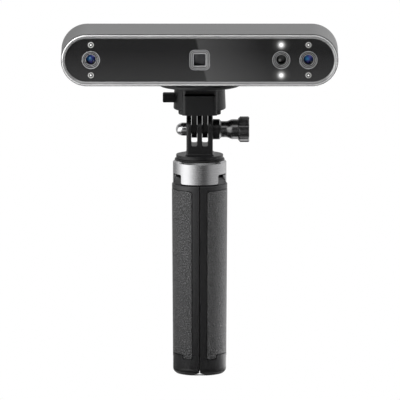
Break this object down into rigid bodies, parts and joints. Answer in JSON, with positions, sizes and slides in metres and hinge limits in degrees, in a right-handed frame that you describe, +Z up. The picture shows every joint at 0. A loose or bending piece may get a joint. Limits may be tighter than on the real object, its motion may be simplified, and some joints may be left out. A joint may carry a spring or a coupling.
{
  "type": "handheld three-d scanner",
  "caption": "Handheld structured-light scanner head with cameras and projector, on a quick-release tilt mount and a grip that folds out into a small tripod.",
  "frame": {"origin": "on the floor, under the middle of the grip, with the legs closed", "axes": "+Z up along the grip, +X to the viewer's right, -Y the way the cameras look"},
  "size_m": [0.153, 0.045, 0.1921],
  "materials": {
    "shell_metal": "bead-blasted grey anodised",
    "bezel_metal": "turned and polished ridge",
    "panel_glass": "gloss black",
    "chassis_metal": "black anodised",
    "baffle_plastic": "fine stepped",
    "lens_glass": "coated",
    "board_green": "solder mask",
    "chip_black": "moulded",
    "infrared_lamp": "clear dome",
    "white_lamp": "lit dome",
    "cover_plastic": "fine grain",
    "button_plastic": "smooth",
    "light_pipe": "frosted",
    "screw_steel": "zinc plated",
    "insert_brass": "turned",
    "mount_plastic": "fine moulded grain",
    "knob_plastic": "smooth",
    "pad_rubber": "matt",
    "nut_chrome": "polished",
    "collar_metal": "satin anodised",
    "hub_plastic": "smooth",
    "leg_plastic": "smooth moulded",
    "grip_rubber": "leather-like grain",
    "foot_rubber": "matt"
  },
  "bodies": {
    "hub": {"hub_core": "hub_plastic", "collar": "collar_metal", "top_cap": "hub_plastic", "stud": "screw_steel", "leg_pins": "screw_steel"},
    "leg_1": {"leg_1": "leg_plastic", "grip_pad_1": "grip_rubber", "foot_1": "foot_rubber"},
    "leg_2": {"leg_2": "leg_plastic", "grip_pad_2": "grip_rubber", "foot_2": "foot_rubber"},
    "leg_3": {"leg_3": "leg_plastic", "grip_pad_3": "grip_rubber", "foot_3": "foot_rubber"},
    "fork": {"fork_adapter": "mount_plastic", "clamp_nut": "nut_chrome"},
    "clamp_screw": {"thumbscrew_shaft": "screw_steel", "thumbscrew_knob": "knob_plastic"},
    "receiver": {"receiver_body": "mount_plastic", "receiver_base": "mount_plastic", "receiver_screws": "screw_steel", "latch_spring": "screw_steel"},
    "latch": {"latch": "mount_plastic"},
    "head": {"head_shell": "shell_metal", "front_bezel": "bezel_metal", "front_glass": "panel_glass", "optics_chassis": "chassis_metal", "left_camera_barrel": "chassis_metal", "colour_camera_barrel": "chassis_metal", "right_camera_barrel": "chassis_metal", "left_camera_baffle": "baffle_plastic", "colour_camera_baffle": "baffle_plastic", "right_camera_baffle": "baffle_plastic", "projector_frame": "baffle_plastic", "left_camera_lens": "lens_glass", "colour_camera_lens": "lens_glass", "right_camera_lens": "lens_glass", "projector_lens": "lens_glass", "left_camera_board": "board_green", "colour_camera_board": "board_green", "right_camera_board": "board_green", "main_board": "board_green", "board_chips": "chip_black", "button_switches": "chip_black", "projector_housing": "chip_black", "infrared_leds": "infrared_lamp", "white_leds": "white_lamp", "rear_cover": "cover_plastic", "status_light": "light_pipe", "tripod_insert": "insert_brass", "plate_pad": "pad_rubber", "board_screws": "screw_steel", "rear_screws": "screw_steel", "plate_screw": "screw_steel", "usb_socket": "screw_steel", "release_plate": "mount_plastic"},
    "start_button": {"start_button": "button_plastic"},
    "brightness_up_button": {"brightness_up_button": "button_plastic"},
    "brightness_down_button": {"brightness_down_button": "button_plastic"}
  },
  "joints": [
    {"name": "leg_1_fold", "type": "hinge", "parent": "hub", "child": "leg_1", "pos_m": [0, 0.0115, 0.1085], "axis": [1, 0, 0], "range_deg": [0, 56]},
    {"name": "leg_2_fold", "type": "hinge", "parent": "hub", "child": "leg_2", "pos_m": [-0.00996, -0.00575, 0.1085], "axis": [-0.5, 0.866, 0], "range_deg": [0, 56]},
    {"name": "leg_3_fold", "type": "hinge", "parent": "hub", "child": "leg_3", "pos_m": [0.00996, -0.00575, 0.1085], "axis": [-0.5, -0.866, 0], "range_deg": [0, 56]},
    {"name": "pan", "type": "hinge", "parent": "hub", "child": "fork", "pos_m": [0, 0, 0.1201], "axis": [0, 0, 1], "continuous": true},
    {"name": "clamp_screw_turn", "type": "hinge", "parent": "fork", "child": "clamp_screw", "pos_m": [0.0112, 0, 0.136], "axis": [1, 0, 0], "continuous": true},
    {"name": "tilt", "type": "hinge", "parent": "fork", "child": "receiver", "pos_m": [0, 0, 0.136], "axis": [-1, 0, 0], "range_deg": [-85, 85]},
    {"name": "latch_press", "type": "slide", "parent": "receiver", "child": "latch", "axis": [1, 0, 0], "range_m": [0, 0.002], "stiffness_N_per_m": 1500, "deforming": ["latch_spring"]},
    {"name": "plate_slide", "type": "slide", "parent": "receiver", "child": "head", "axis": [0, -1, 0], "range_m": [0, 0.026]},
    {"name": "start_button_press", "type": "slide", "parent": "head", "child": "start_button", "axis": [0, -1, 0], "range_m": [0, 0.0004], "stiffness_N_per_m": 4000},
    {"name": "brightness_up_button_press", "type": "slide", "parent": "head", "child": "brightness_up_button", "axis": [0, -1, 0], "range_m": [0, 0.0004], "stiffness_N_per_m": 4000},
    {"name": "brightness_down_button_press", "type": "slide", "parent": "head", "child": "brightness_down_button", "axis": [0, -1, 0], "range_m": [0, 0.0004], "stiffness_N_per_m": 4000}
  ]
}
